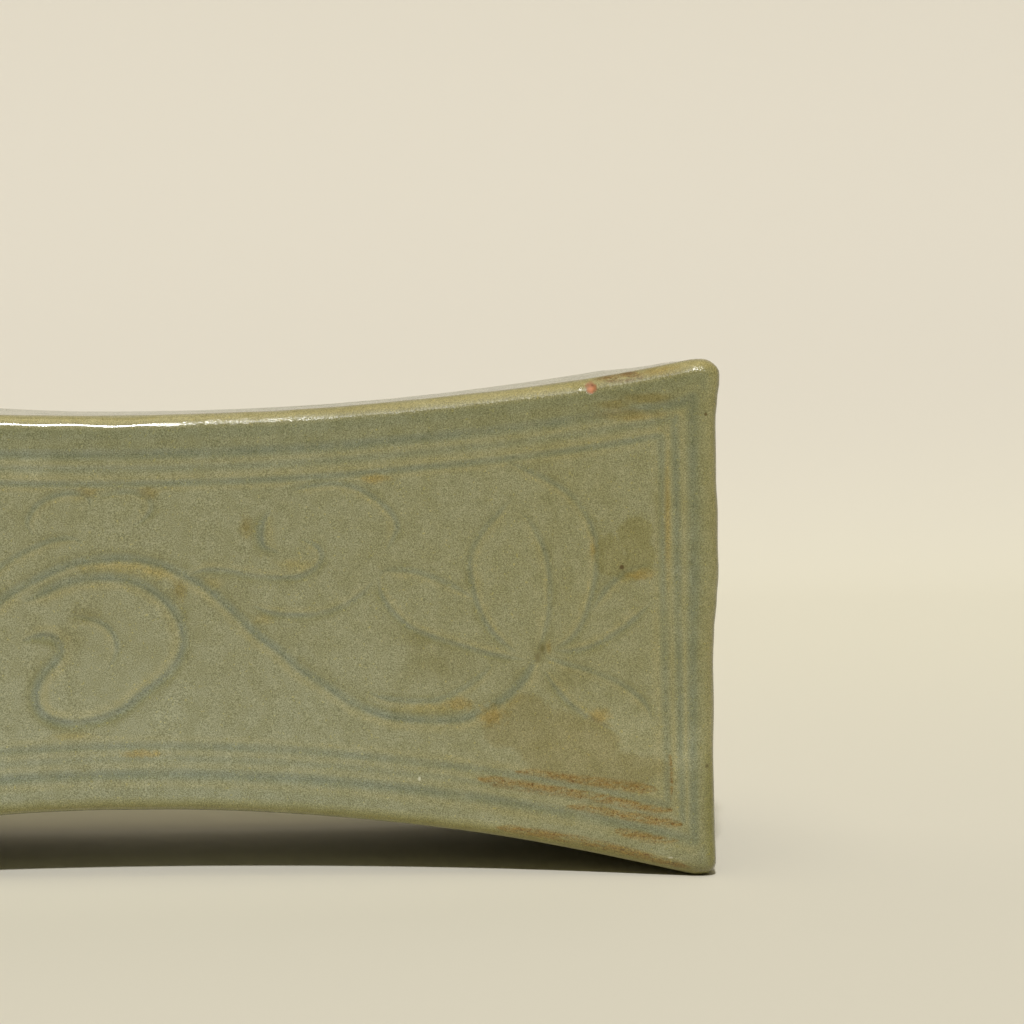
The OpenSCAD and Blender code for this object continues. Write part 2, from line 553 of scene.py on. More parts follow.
# %% Carving
FULL_DEPTH = 0.14
LIP_AT = 1.8
LIP_SPREAD = 1.0
LIP_RISE = 0.05
CORE_AT = -0.45
CORE_SPREAD = 0.55
SLOPE_POOL_AND_SHADE_AT = 1.3
LEVEL_LIP = 0.8
LEVEL_CORE = 0.4
GROOVE_FULL = 0.35
GROOVE_END = 1.25
SLOPE_SPREAD = 0.8
REACH = 2.8


def bump(value, middle, spread):
    """1 at the middle, falling evenly to 0 on both sides."""
    return clamp(1 - abs(value - middle) / spread, 0, 1)


def carve(bm, cuts):
    """Presses the strokes into the slab and marks how the glaze lies in and beside them, and where
    shade is painted.
    """
    tree = sample_tree(cuts)
    refine(bm, tree, cuts)
    names = ("groove", "core", "lip", "slope_pool_and_shade")
    groove, core, lip, slope_pool_and_shade = (bm.verts.layers.float.new(name) for name in names)
    for v in bm.verts:
        place, index, gap = tree.find(v.co)
        inward, slope, half_width, depth = cuts[index][1:]
        ratio = gap / half_width
        if ratio < REACH:
            lean = (v.co - place).dot(slope) / max(gap, NEAR)
            steep = slope.length > 0
            across = lean * ratio - CORE_AT if steep else ratio
            width = ratio / (1 + SLOPE_SPREAD * max(lean, 0))
            hollow = 0.5 + 0.5 * math.cos(math.pi * min(width, 1))
            rise = bump(ratio, LIP_AT, LIP_SPREAD) * (max(-lean, 0) if steep else LEVEL_LIP)
            press = min(1, depth / (FULL_DEPTH * MM))
            v.co += inward * depth * (hollow - LIP_RISE * rise)
            v[groove] = press * clamp((GROOVE_END - ratio) / (GROOVE_END - GROOVE_FULL), 0, 1)
            # painted shade: the narrow core on the steep side of a line
            strong = 1 if steep else LEVEL_CORE
            v[core] = press * strong * bump(across, 0, CORE_SPREAD) * clamp(GROOVE_END - ratio, 0, 1)
            v[lip] = press * rise
            # painted shade on the sloping side of a line, partly glaze lying thick there
            v[slope_pool_and_shade] = press * max(lean, 0) * bump(ratio, SLOPE_POOL_AND_SHADE_AT, SLOPE_POOL_AND_SHADE_AT)


for bm, cuts in ((top_blank, top_cuts), (front_blank, front_cuts), (bottom_blank, [])):
    carve(bm, joint_cuts + cuts)
    print("carved slab with", len(bm.faces), "faces")

# %% [markdown]
# A flake has sprung off the front top edge. The scar is a shallow dent, pressed in where the edge
# turns over, so its way in points back and a little down.

# %% Chip
CHIP_PLACE = Vector((118.6, -59.7, 123.5)) * MM
CHIP_TILT = math.radians(25)
CHIP_R = 1.5 * MM
CHIP_DEPTH = 0.3 * MM
CHIP_FADE = 1.3

chip_in = Vector((0, math.cos(CHIP_TILT), -math.sin(CHIP_TILT)))
chip = [(CHIP_PLACE, chip_in, LEVEL, CHIP_R, CHIP_DEPTH)]
refine(top_blank, sample_tree(chip), chip)
for v in top_blank.verts:
    dent = clamp(CHIP_FADE - (v.co - CHIP_PLACE).length / CHIP_R, 0, 1)
    v.co += chip_in * CHIP_DEPTH * dent
print("chip", round(2 * CHIP_R / MM, 1), "mm across")

# %% [markdown]
# The back takes the same panel as the front, turned half way round. The end slabs are square and
# flat, with the joint line on their four narrow sides and a ruled frame on their face.

# %% Back and ends
END_PITCH = 2.4 * MM
END_FRAME = (11 * MM, 15 * MM)
END_LINES = [half_h - gap for gap in END_FRAME]
END_WIDTH = 1.9
END_DEPTH = 0.12


def end_slab(side):
    """The flat slab at one end; side is 1 for the right end and -1 for the left one."""
    near, far = sorted((side * joint_x, side * half_l))
    bm = blank((near, -half_w, 0), (far, half_w, height))
    round_edges(bm)
    for axis in (0, 1, 2):
        cut_rows(bm, axis, END_PITCH, on_outside=False)
    mark_edges(bm)
    bend(bm)
    return bm


def end_frame(side):
    """Ruled square lines on the flat face of an end slab."""
    corners = [(-1, -1), (1, -1), (1, 1), (-1, 1), (-1, -1)]
    samples = []
    for reach in END_LINES:
        around = [Vector((side * half_l, a * reach, half_h + b * reach)) for a, b in corners]
        for start, stop in zip(around, around[1:]):
            samples += ruled(start, stop, -RIGHT * side, END_WIDTH, END_DEPTH)
    return samples


right_blank = end_slab(1)
carve(right_blank, joint_cuts + end_frame(1))
left_blank = end_slab(-1)
carve(left_blank, joint_cuts + end_frame(-1))

back_blank = front_blank.copy()
bmesh.ops.rotate(back_blank, verts=back_blank.verts, matrix=Matrix.Rotation(math.pi, 3, "Z"))
print("end slab with", len(right_blank.faces), "faces")

# %% [markdown]
# Iron from the clay burns through the glaze in rows, low on the right of the front. Each point
# keeps how near it lies to such a row, for the glaze to read. The points are cut and marked before
# the slabs are pressed uneven, so that the rows are laid on the plain curve.

# %% Rows of rust
# half width of each row and points along it, in mm on the front
RUST_ROWS = [
    (1.9, [(99, 26.4), (116.4, 24.2), (134, 22.2)]),
    (2.1, [(89.7, 24.8), (100, 23.1), (110, 21.6), (122, 19.7), (137.6, 17.3)]),
    (2.0, [(111.8, 17.6), (126.8, 15.4), (140, 13.6)]),
    (2.4, [(124, 11.6), (131.5, 10.7), (139, 9.7)]),
    (1.9, [(94, 12.1), (112.8, 9.4), (128, 5.9), (135, 3.9), (142.9, 2)]),
    (1.3, [(137.4, 31), (137.4, 20)]),
]


def mark_rust(bm, tree, rows):
    """Marks where rust shows, fading towards the sides of each row."""
    refine(bm, tree, rows)
    rust = bm.verts.layers.float.new("rust")
    for v in bm.verts:
        _, index, gap = tree.find(v.co)
        v[rust] = clamp(1 - gap / rows[index][3], 0, 1)


blanks = {
    "glazed_top": top_blank,
    "glazed_bottom": bottom_blank,
    "glazed_front": front_blank,
    "glazed_back": back_blank,
    "glazed_left_end": left_blank,
    "glazed_right_end": right_blank,
}
rust_rows = []
for half_width, points in RUST_ROWS:
    rust_rows += stroke(points, on_front, -FRONT, 2 * half_width, 0, 1)
rust_tree = sample_tree(rust_rows)
for bm in blanks.values():
    mark_rust(bm, rust_tree, rust_rows)
print(len(RUST_ROWS), "rows of rust")

# %% [markdown]
# The right rim is not straight. It sways in and out by about a millimetre on its way up. The sway
# is given at some heights, and a smooth step leads from each to the next.

# %% The swaying rim
# how far the right rim leans out, at each height above the ground, both in mm
RIM_SWAY = [
    (0, -0.6), (5, -0.9), (12, -1.1), (19, -1.2), (31, -1.35), (44, -1.05), (54, -1.15), (62, -0.8),
    (70, -0.05), (77, 0.45), (85, 0.3), (92, 0.35), (100, -0.05), (115, -0.1), (120, 0.35),
    (124, 0.95), (127, 1.05), (130, 0.7),
]


def rim_sway(z):
    """The lean of the right rim at one height, read between the two nearest heights."""
    for (low, a), (high, b) in zip(RIM_SWAY, RIM_SWAY[1:]):
        if z / MM <= high:
            share = clamp((z / MM - low) / (high - low), 0, 1)
            return (a + (b - a) * share * share * (3 - 2 * share)) * MM
    return RIM_SWAY[-1][1] * MM


print("lean of the rim half way up:", round(rim_sway(half_h) / MM, 2), "mm")

# %% [markdown]
# Nothing pressed by hand is quite even. Waves of a few tenths of a millimetre run through all the
# slabs together, so their joints still meet, and the rim of the top puckers. The back top edge
# humps in two places and has slumped at its right corner, the right front corner is lifted, and
# the foot edges were rubbed under. The seed of the noise is fixed, so each run is the same.

# %% Uneven by hand
WAVE_SEED = 332
WAVE_LENGTH = 55 * MM
WAVE_HEIGHT = 0.3 * MM
RIPPLE_LENGTH = 11 * MM
RIPPLE_HEIGHT = 0.08 * MM
PUCKER_LENGTH = 9 * MM
PUCKER_HEIGHT = 0.25 * MM
PUCKER_SPREAD = 3
FOOT_ZONE = 15 * MM
TUCK_ZONE = 5 * MM
FOOT_TUCK = 2.2 * MM
SLUMP = 2.8 * MM
SLUMP_FROM = 130 * MM
# where the back top edge humps, how far to each side, and how high, in mm
HUMPS = [(-48, 30, 0.8), (108, 40, 0.2)]
RIM_WIDTH = 10 * MM
RIM_DEPTH = 45 * MM
RIM_LEFT_OVER = 0.2
CORNER_LIFT = 0.7 * MM
CORNER_ZONE = 12 * MM
LIFT_FROM = 118 * MM

noise.seed_set(WAVE_SEED)


def hand_pressed(bm):
    """Moves each point of a slab by all that the hand and the kiln did to it."""
    edge_mark = bm.verts.layers.float["edge"]
    top_mark = bm.verts.layers.float["top"]
    for v in bm.verts:
        wave = noise.noise_vector(v.co / WAVE_LENGTH) * WAVE_HEIGHT
        wave += noise.noise_vector(v.co / RIPPLE_LENGTH) * RIPPLE_HEIGHT
        pucker = clamp(PUCKER_SPREAD * v[edge_mark] * v[top_mark], 0, 1)
        wave += noise.noise_vector(v.co / PUCKER_LENGTH) * PUCKER_HEIGHT * pucker
        wave.z *= clamp(v.co.z / FOOT_ZONE, 0, 1)
        near_front = clamp(1 - (v.co.y + half_w) / RIM_DEPTH, RIM_LEFT_OVER, 1)
        near_rim = clamp((v.co.x - half_l + RIM_WIDTH) / RIM_WIDTH, 0, 1)
        wave.x += near_rim * near_front * rim_sway(v.co.z)
        near_top = clamp(1 - (height - v.co.z) / CORNER_ZONE, 0, 1)
        near_corner = clamp((v.co.x - LIFT_FROM) / (half_l - LIFT_FROM), 0, 1)
        wave.z += near_corner * near_front * near_top * CORNER_LIFT
        slumped = clamp((v.co.x - SLUMP_FROM) / (half_l - SLUMP_FROM), 0, 1)
        humped = sum(rise * bump(v.co.x / MM, at, spread) for at, spread, rise in HUMPS)
        back_share = clamp(v.co.y / half_w, 0, 1) * v.co.z / height
        wave.z += back_share * (humped * MM - SLUMP * slumped)
        near_foot = clamp(1 - v.co.z / TUCK_ZONE, 0, 1)
        wave.y -= v.co.y / half_w * FOOT_TUCK * near_foot**2
        v.co += wave


for bm in blanks.values():
    hand_pressed(bm)
print(len(blanks), "slabs pressed uneven")

# %% [markdown]
# The glaze is a celadon: iron in a lime glaze, fired without air, turns grey-green. It is full of
# fine bubbles, which show as a sandy speckle. Its material is a long chain of nodes, so a few
# helpers come first. Each adds one node, sets it and links it.

# %% Shader helpers
def add(tree, kind, inputs=None, **settings):
    """Adds a node, sets its options, and links or sets its inputs."""
    made = tree.nodes.new(kind)
    for key, value in settings.items():
        setattr(made, key, value)
    for key, value in (inputs or {}).items():
        socket = made.inputs[key]
        if isinstance(value, bpy.types.NodeSocket):
            tree.links.new(value, socket)
        else:
            socket.default_value = value
    return made


def blend(tree, mask, under, over):
    """A colour that goes from one to the other as the mask goes from 0 to 1."""
    mix = add(tree, "ShaderNodeMix", {0: mask, 6: under, 7: over}, data_type="RGBA")
    return mix.outputs[2]


def tinted(tree, mask, under, tint):
    """A colour multiplied by a tint, as far as the mask says."""
    mix = add(
        tree, "ShaderNodeMix", {0: mask, 6: under, 7: tint}, data_type="RGBA", blend_type="MULTIPLY"
    )
    return mix.outputs[2]


def times(tree, a, b):
    """The product of two masks."""
    return add(tree, "ShaderNodeMath", {0: a, 1: b}, operation="MULTIPLY").outputs[0]


def between(tree, value, low, high, to_low=0.0, to_high=1.0):
    """The value, stretched so that low becomes to_low and high becomes to_high."""
    settings = {"Value": value, "From Min": low, "From Max": high, "To Min": to_low, "To Max": to_high}
    return add(tree, "ShaderNodeMapRange", settings, interpolation_type="SMOOTHSTEP").outputs[0]


def clouds(tree, place, size, detail=2.0, roughness=0.5):
    """A soft random mask with features of about this size."""
    settings = {"Vector": place, "Scale": 1 / size, "Detail": detail, "Roughness": roughness}
    return add(tree, "ShaderNodeTexNoise", settings).outputs["Fac"]


def colour(red, green, blue):
    """A colour written as it looks on a screen, in steps of 255."""
    def light(step):
        share = step / 255
        return share / 12.92 if share <= 0.04045 else ((share + 0.055) / 1.055) ** 2.4
    return (light(red), light(green), light(blue), 1)


def effect(name, inputs, outputs):
    """An empty shared effect with these named sockets."""
    group = bpy.data.node_groups.new(name, "ShaderNodeTree")
    for socket, kind in inputs:
        group.interface.new_socket(socket, in_out="INPUT", socket_type=kind)
    for socket, kind in outputs:
        group.interface.new_socket(socket, in_out="OUTPUT", socket_type=kind)
    return group, group.nodes.new("NodeGroupInput"), group.nodes.new("NodeGroupOutput")


print("helpers ready")

# %% [markdown]
# A patch is a blotch with ragged edges at one place on the pillow: a stain, a rusty fleck, a
# pinhole or a chip. It is an egg shape in space whose outline is pushed about by noise. The
# speckle stands for the fine bubbles that fill the glaze.

# %% Shared effects
VALUE = "NodeSocketFloat"
PLACE = "NodeSocketVector"
SPECKLE = 0.27 * MM

patch, patch_in, patch_out = effect(
    "patch",
    [("Middle", PLACE), ("Size", PLACE), ("Push", VALUE), ("Ragged", VALUE), ("Soft", VALUE)],
    [("Mask", VALUE)],
)
patch_place = add(patch, "ShaderNodeTexCoord").outputs["Object"]
from_middle = add(
    patch, "ShaderNodeVectorMath", {0: patch_place, 1: patch_in.outputs["Middle"]}, operation="SUBTRACT"
)
in_sizes = add(
    patch, "ShaderNodeVectorMath", {0: from_middle.outputs[0], 1: patch_in.outputs["Size"]},
    operation="DIVIDE",
)
far = add(patch, "ShaderNodeVectorMath", {0: in_sizes.outputs[0]}, operation="LENGTH").outputs["Value"]
rag = add(
    patch, "ShaderNodeMath", {0: patch_in.outputs["Push"], 1: 0.5}, operation="SUBTRACT"
).outputs[0]
pushed = add(
    patch, "ShaderNodeMath", {0: rag, 1: patch_in.outputs["Ragged"], 2: far}, operation="MULTIPLY_ADD"
).outputs[0]
full_at = add(
    patch, "ShaderNodeMath", {0: 1.0, 1: patch_in.outputs["Soft"]}, operation="SUBTRACT"
).outputs[0]
inside = between(patch, pushed, 1.0, full_at)
patch.links.new(inside, patch_out.inputs["Mask"])

speckle, _, speckle_out = effect("speckle", [], [("Mask", VALUE), ("Height", VALUE)])
speckle_place = add(speckle, "ShaderNodeTexCoord").outputs["Object"]
sand = clouds(speckle, speckle_place, SPECKLE, detail=2, roughness=0.6)
speckle.links.new(between(speckle, sand, 0.25, 0.75), speckle_out.inputs["Mask"])
speckle.links.new(sand, speckle_out.inputs["Height"])
print("shared effects:", [group.name for group in (patch, speckle)])

# %% [markdown]
# No glaze comes out of the kiln even. Clouds of noise, from three centimetres in size to less than
# a millimetre, say where it is hazy, mottled, flecked or worn. Slow ramps say which parts of the
# pillow look greyer and which yellower.

# %% Glaze masks
HAZE = 30 * MM
BLOTCH = 9 * MM
MOTTLE = 5 * MM
FRAY = 1.6 * MM
FLECK = 0.7 * MM
# where each slow ramp starts and ends, to the right of the middle or above the ground
ASHY_RAMP = (20 * MM, 140 * MM)
GREY_RAMP = (110 * MM, 40 * MM)
LOW_RAMP = (75 * MM, 25 * MM)

glaze = bpy.data.materials.new("celadon_glaze")
glaze.use_nodes = True
tree = glaze.node_tree
shader = tree.nodes["Principled BSDF"]
place = add(tree, "ShaderNodeTexCoord").outputs["Object"]
axes = add(tree, "ShaderNodeSeparateXYZ", {"Vector": place}).outputs
grains = add(tree, "ShaderNodeGroup", node_tree=speckle)


def mark(name):
    """A mark that the carving left on the surface."""
    return add(tree, "ShaderNodeAttribute", attribute_name=name).outputs["Fac"]


coarse = clouds(tree, place, BLOTCH, detail=6, roughness=0.7)
fine = clouds(tree, place, FRAY, detail=3, roughness=0.6)
worn = between(tree, coarse, 0.3, 0.6, 0.5, 1.0)
rightwards = between(tree, axes["X"], *ASHY_RAMP)
leftwards = between(tree, axes["X"], *GREY_RAMP)
downwards = between(tree, axes["Z"], *LOW_RAMP)
cloudy = between(tree, clouds(tree, place, HAZE, detail=3), 0.3, 0.7, 0.5, 1.0)
mottled = between(tree, clouds(tree, place, MOTTLE, detail=5, roughness=0.65), 0.36, 0.64)
flecks = between(tree, clouds(tree, place, FLECK, detail=1), 0.66, 0.76)
print("glaze masks take", len(tree.nodes), "nodes")

# %% [markdown]
# Celadon looks bluish where it lies thick, in the carved lines, and yellowish where it runs thin,
# on lips and edges. The base is greyer low on the left and yellower towards the right, where more
# ash fell on it. Some tints are painted light and shade: painted shade in the core of each line,
# on its sloping side, where the glaze also lies thick, and in the bands beside the joints, where
# some glaze pools; a painted sheen on the rim of the top; and painted light on the high edges,
# which are also pale where the glaze runs thin. A multiplying tint changes the colour and leaves
# the speckle showing.

# %% Glaze colours
GLAZE_DARK = colour(106, 106, 77)
GLAZE_LIGHT = colour(165, 164, 131)
MOTTLE_TINT = (0.9, 0.89, 0.82, 1)
FLECK_TINT = (1.25, 1.18, 0.9, 1)
# painted sheen: lightens the rim of the top, for the bright backdrop it reflects at a grazing angle
PAINTED_RIM_SHEEN = (1.34, 1.24, 1.22, 1)
ASHY_TINT = (0.97, 0.94, 0.82, 1)
GREY_TINT = (1.07, 1.1, 1.2, 1)
POOLED_TINT = (0.8, 0.86, 0.95, 1)
# painted shade in the narrow core on the steep side of a line
CORE_SHADE_TINT = (0.78, 0.8, 0.87, 1)
# painted shade on the sloping side of a line, partly glaze lying thick there
SLOPE_POOL_AND_SHADE_TINT = (0.85, 0.84, 0.74, 1)
LIP_TINT = (1.15, 1.08, 0.95, 1)
# pale where the glaze runs thin, and painted light on the high edges that turn away from the lamp
HIGH_EDGE_THIN_AND_LIT_TINT = (1.6, 1.43, 1.14, 1)
LOW_EDGE_TINT = (1.06, 0.95, 0.4, 1)
# painted shade in the bands beside the joints, partly bluish glaze pooled there
BAND_SHADE_AND_POOL_TINT = (0.84, 0.87, 0.88, 1)
EDGE_RAMP = (20 * MM, 45 * MM)

skin = blend(tree, grains.outputs["Mask"], GLAZE_DARK, GLAZE_LIGHT)
skin = tinted(tree, mottled, skin, MOTTLE_TINT)
skin = tinted(tree, flecks, skin, FLECK_TINT)
# painted sheen on the rim of the top
skin = tinted(tree, mark("top"), skin, PAINTED_RIM_SHEEN)
skin = tinted(tree, times(tree, rightwards, cloudy), skin, ASHY_TINT)
skin = tinted(tree, times(tree, times(tree, leftwards, downwards), cloudy), skin, GREY_TINT)
# painted shade in the bands beside the joints, partly pooled glaze
skin = tinted(tree, mark("band"), skin, BAND_SHADE_AND_POOL_TINT)
skin = tinted(tree, times(tree, mark("groove"), worn), skin, POOLED_TINT)
# painted shade in the core of each line
skin = tinted(tree, times(tree, mark("core"), worn), skin, CORE_SHADE_TINT)
# painted shade on the sloping side of each line, partly thick glaze
skin = tinted(tree, times(tree, mark("slope_pool_and_shade"), worn), skin, SLOPE_POOL_AND_SHADE_TINT)
skin = tinted(tree, times(tree, mark("lip"), worn), skin, LIP_TINT)
# edges: paler where the glaze runs thin, with painted light on the high edges
edge_tint = blend(tree, between(tree, axes["Z"], *EDGE_RAMP), LOW_EDGE_TINT, HIGH_EDGE_THIN_AND_LIT_TINT)
skin = tinted(tree, mark("edge"), skin, edge_tint)
print("glaze has", len(tree.nodes), "nodes before its stains")

# %% [markdown]
# The glaze is glossy, with a skin as fine as orange peel. Towards the right the top edge is pimpled,
# so the white line that the lamp draws on it breaks into dots. Further on the glaze ran thin and
# fired drier, and the line fades.

# %% Gloss
GLOSSY = 0.13
DRY = 0.55
# where the dry edge starts and ends, and where peel and pimples grow, right of the middle
DRY_START = (30 * MM, 62 * MM)
DRY_END = (147 * MM, 141 * MM)
PEEL_RAMP = (0.0, 30 * MM)
PIMPLE_RAMP = (12 * MM, 20 * MM)
PEEL_LEFT = 0.6
PEEL_RIGHT = 3.0
PIMPLE = 0.8 * MM
PIMPLE_HEIGHT = 7.0
RELIEF_STRENGTH = 0.4
RELIEF_DEPTH = 0.06 * MM

dry_edge = times(tree, mark("edge"), between(tree, axes["X"], *DRY_START))
dry_edge = times(tree, dry_edge, between(tree, axes["X"], *DRY_END))
dry = between(tree, dry_edge, 0.0, 0.6)
peel_height = between(tree, axes["X"], *PEEL_RAMP, PEEL_LEFT, PEEL_RIGHT)
peel = times(tree, grains.outputs["Height"], peel_height)
pimpled = between(tree, mark("edge"), 0.05, 0.35)
pimpled = times(tree, pimpled, between(tree, axes["X"], *PIMPLE_RAMP, 0.0, PIMPLE_HEIGHT))
pimples = times(tree, clouds(tree, place, PIMPLE, detail=1), pimpled)
relief = add(tree, "ShaderNodeMath", {0: peel, 1: pimples}, operation="ADD").outputs[0]
skin_bump = add(
    tree, "ShaderNodeBump", {"Height": relief, "Strength": RELIEF_STRENGTH, "Distance": RELIEF_DEPTH}
)
tree.links.new(skin_bump.outputs["Normal"], shader.inputs["Normal"])
print("gloss from roughness", GLOSSY, "to", DRY)

# %% [markdown]
# Kiln stains lie over the glaze, each at its own place. Some are golden where the glaze ran thin,
# some smoky, some brown with iron, and some paler than the rest. One pale patch, high on the left of
# the front, is a painted glow round the white line that the lamp draws on the top edge. Every patch
# is placed on the front, in millimetres to the right of the middle and above the ground. Two have a
# shape that no single egg can give, so each of those is several eggs joined into one.

# %% Stains
GOLD = (1.08, 0.99, 0.79, 1)
OCHRE = (1.06, 0.9, 0.66, 1)
SMOKE = (0.88, 0.86, 0.77, 1)
STAIN = (0.89, 0.855, 0.7, 1)
BROWN = (0.88, 0.83, 0.72, 1)
PALE_AND_GLOW = (1.16, 1.16, 1.22, 1)
UMBER = (0.9, 0.8, 0.6, 1)
BROAD_STAINS = [
    # x, z, half width, half height, ragged, soft, tint
    (118, 34, 40, 13, 0.8, 1.0, PALE_AND_GLOW),
    (142, 33, 12, 11, 0.8, 1.0, PALE_AND_GLOW),
    (96, 14, 19, 3.5, 0.8, 1.0, PALE_AND_GLOW),
    # painted glow round the white line that the lamp draws on the top edge
    (-24, 105, 12, 10, 0.8, 1.0, PALE_AND_GLOW),
    (111, 50, 8, 5, 1.2, 0.8, SMOKE),
    (79, 54, 11, 7, 1.2, 0.9, SMOKE),
    (75, 60, 8, 3, 1.2, 0.9, SMOKE),
    (-8.5, 67.5, 7, 4, 1.2, 0.9, SMOKE),
    (-12.5, 61, 7, 5, 1.2, 0.9, SMOKE),
    (133, 120.7, 9, 1.9, 1.2, 0.7, UMBER),
    (124, 119.2, 6, 1.7, 1.2, 0.8, UMBER),
    (128, 116.6, 11, 2.2, 1.2, 0.7, OCHRE),
    (126, 122, 10, 1.8, 1.2, 0.9, SMOKE),
    (105.2, 56.5, 3.5, 4, 1.2, 0.9, SMOKE),
    (60, 118.5, 30, 2.4, 1.2, 0.9, SMOKE),
]
# tint of each stain made of several eggs, and the middle and half sizes of each egg
JOINED_STAINS = [
    (BROWN, [(101, 38, 12, 6.5), (101, 42, 6, 5), (110, 33, 13, 10), (117, 33, 9, 8),
     (124, 27, 15, 5)]),
    (STAIN, [(129.5, 86, 5.5, 6), (131, 81, 4, 6), (123, 81, 4.5, 6.5), (127, 78, 5, 4)]),
]
SMALL_STAINS = [
    (0, 79, 16, 2.1, 1.0, 1.0, GOLD),
    (9, 77.3, 8, 2.3, 1.0, 1.0, GOLD),
    (14.5, 73, 3, 4, 1.0, 1.0, UMBER),
    (31.6, 88.9, 2.6, 4.2, 1.0, 1.0, UMBER),
    (-8.7, 98, 4, 2.3, 1.0, 1.0, UMBER),
    (7, 97.7, 4, 2.8, 1.0, 1.0, UMBER),
    (43.5, 79.3, 7, 2.3, 1.0, 1.0, GOLD),
    (22.5, 74.5, 4, 2.8, 1.0, 1.0, GOLD),
    (35.5, 65.5, 4, 2.2, 1.0, 1.0, GOLD),
    (77, 42.5, 13, 1.9, 1.0, 1.0, GOLD),
    (85, 43.9, 5, 2.2, 1.2, 0.8, OCHRE),
    (64, 101, 5, 2, 1.2, 0.9, OCHRE),
    (-13, 36.5, 9, 1.5, 1.0, 1.0, GOLD),
    (5, 31.7, 7, 1.4, 2.2, 0.8, OCHRE),
    (130.6, 76.4, 5, 2, 1.2, 0.8, OCHRE),
    (120, 41, 4, 2.8, 1.2, 0.8, OCHRE),
    (93, 41, 5, 4, 1.6, 0.8, OCHRE),
    (137.3, 90, 1.3, 24, 0.6, 1.0, OCHRE),
    (135.3, 92, 1.4, 20, 0.6, 1.0, SMOKE),
    (118.8, 83.5, 1.2, 4.5, 1.0, 1.0, OCHRE),
    (107.5, 58, 1.2, 2.4, 1.0, 1.0, OCHRE),
    (22, 65, 4.5, 0.3, 0.4, 0.8, PALE_AND_GLOW),
]
print(len(BROAD_STAINS), "broad stains,", len(JOINED_STAINS), "joined,", len(SMALL_STAINS), "small")

# %% [markdown]
# Every stain is one patch, or several, that multiplies the glaze by its tint. The patches are thick
# enough from front to back to follow the curve of the front, and too thin to reach the back slab.

# %% Laying the stains
JOINED_RAGGED = 1.2
JOINED_SOFT = 0.3
DEEP = 12


def patch_mask(x, z, half_width, half_height, push, ragged, soft, deep=DEEP):
    """The mask of one patch on the front."""
    middle = on_front(Vector((x, z)))
    size = Vector((half_width, deep, half_height)) * MM
    settings = {"Middle": middle, "Size": size, "Push": push, "Ragged": ragged, "Soft": soft}
    return add(tree, "ShaderNodeGroup", settings, node_tree=patch).outputs["Mask"]


for push, stains in ((coarse, BROAD_STAINS), (fine, SMALL_STAINS)):
    for x, z, half_width, half_height, ragged, soft, tint in stains:
        stain = patch_mask(x, z, half_width, half_height, push, ragged, soft)
        skin = tinted(tree, stain, skin, tint)
for tint, eggs in JOINED_STAINS:
    joined = 0.0
    for x, z, half_width, half_height in eggs:
        egg = patch_mask(x, z, half_width, half_height, coarse, JOINED_RAGGED, JOINED_SOFT)
        joined = add(tree, "ShaderNodeMath", {0: joined, 1: egg}, operation="MAXIMUM").outputs[0]
    skin = tinted(tree, joined, skin, tint)
print("glaze has", len(tree.nodes), "nodes with its stains")

# %% [markdown]
# Iron in the clay burns through as rust where the glaze is thinnest: on the lips of the frame
# lines low on the right, along the foot, and along the top edge. One chip shows the orange body,
# and a few pinholes are burnt dark.

# %% Rust and faults
RUST_TINT = (0.99, 0.74, 0.47, 1)
BURNT_TINT = (0.55, 0.38, 0.27, 1)
STREAK = 1.1 * MM
STREAK_STRETCH = Vector((0.25, 1, 1))
BURNT_DOT = 0.5 * MM
THIN = 6
# x, z, half width and half height of patches on the front top edge, in mm
TOP_RUST = (124.8, 126.6, 9, 2.3)
WORN_CREST = (135, 128, 8, 2.6)
SHINY = (115.2, 124, 2.6, 2)
SCAR = (118.6, 123.5, 1.8, 1.7)
FAULTS = [
    # what it is, x, z, half width, half height, ragged, soft, colour
    ("burnt spot", 106, 57.8, 1.1, 2, 0.8, 1.0, colour(100, 94, 56)),
    ("foot of the burnt spot", 104.8, 55.6, 1.2, 1.8, 0.8, 1.0, colour(112, 106, 70)),
    ("pinhole by the corner", 147, 116.6, 0.6, 0.6, 0.4, 0.6, colour(96, 84, 50)),
    ("pinhole low on the rim", 146.8, 28.2, 0.7, 0.7, 0.6, 0.8, colour(98, 90, 56)),
    ("pinhole in the stain", 125.9, 78.3, 0.8, 0.8, 0.6, 0.6, colour(84, 70, 40)),
    ("pale mark below the flower", 74.7, 24.8, 0.5, 0.8, 0.6, 0.6, colour(188, 186, 160)),
    ("pale mark at the foot", 137.5, 5, 0.8, 0.3, 1.2, 0.8, colour(172, 168, 142)),
    ("rim of the chip", *SCAR, 1.0, 0.5, colour(150, 98, 58)),
    ("heart of the chip", 118.5, 123.2, 1.3, 1.2, 1.0, 0.8, colour(190, 122, 78)),
    ("pit in the chip", 119, 124.1, 0.5, 0.4, 0.4, 0.8, colour(124, 74, 38)),
]

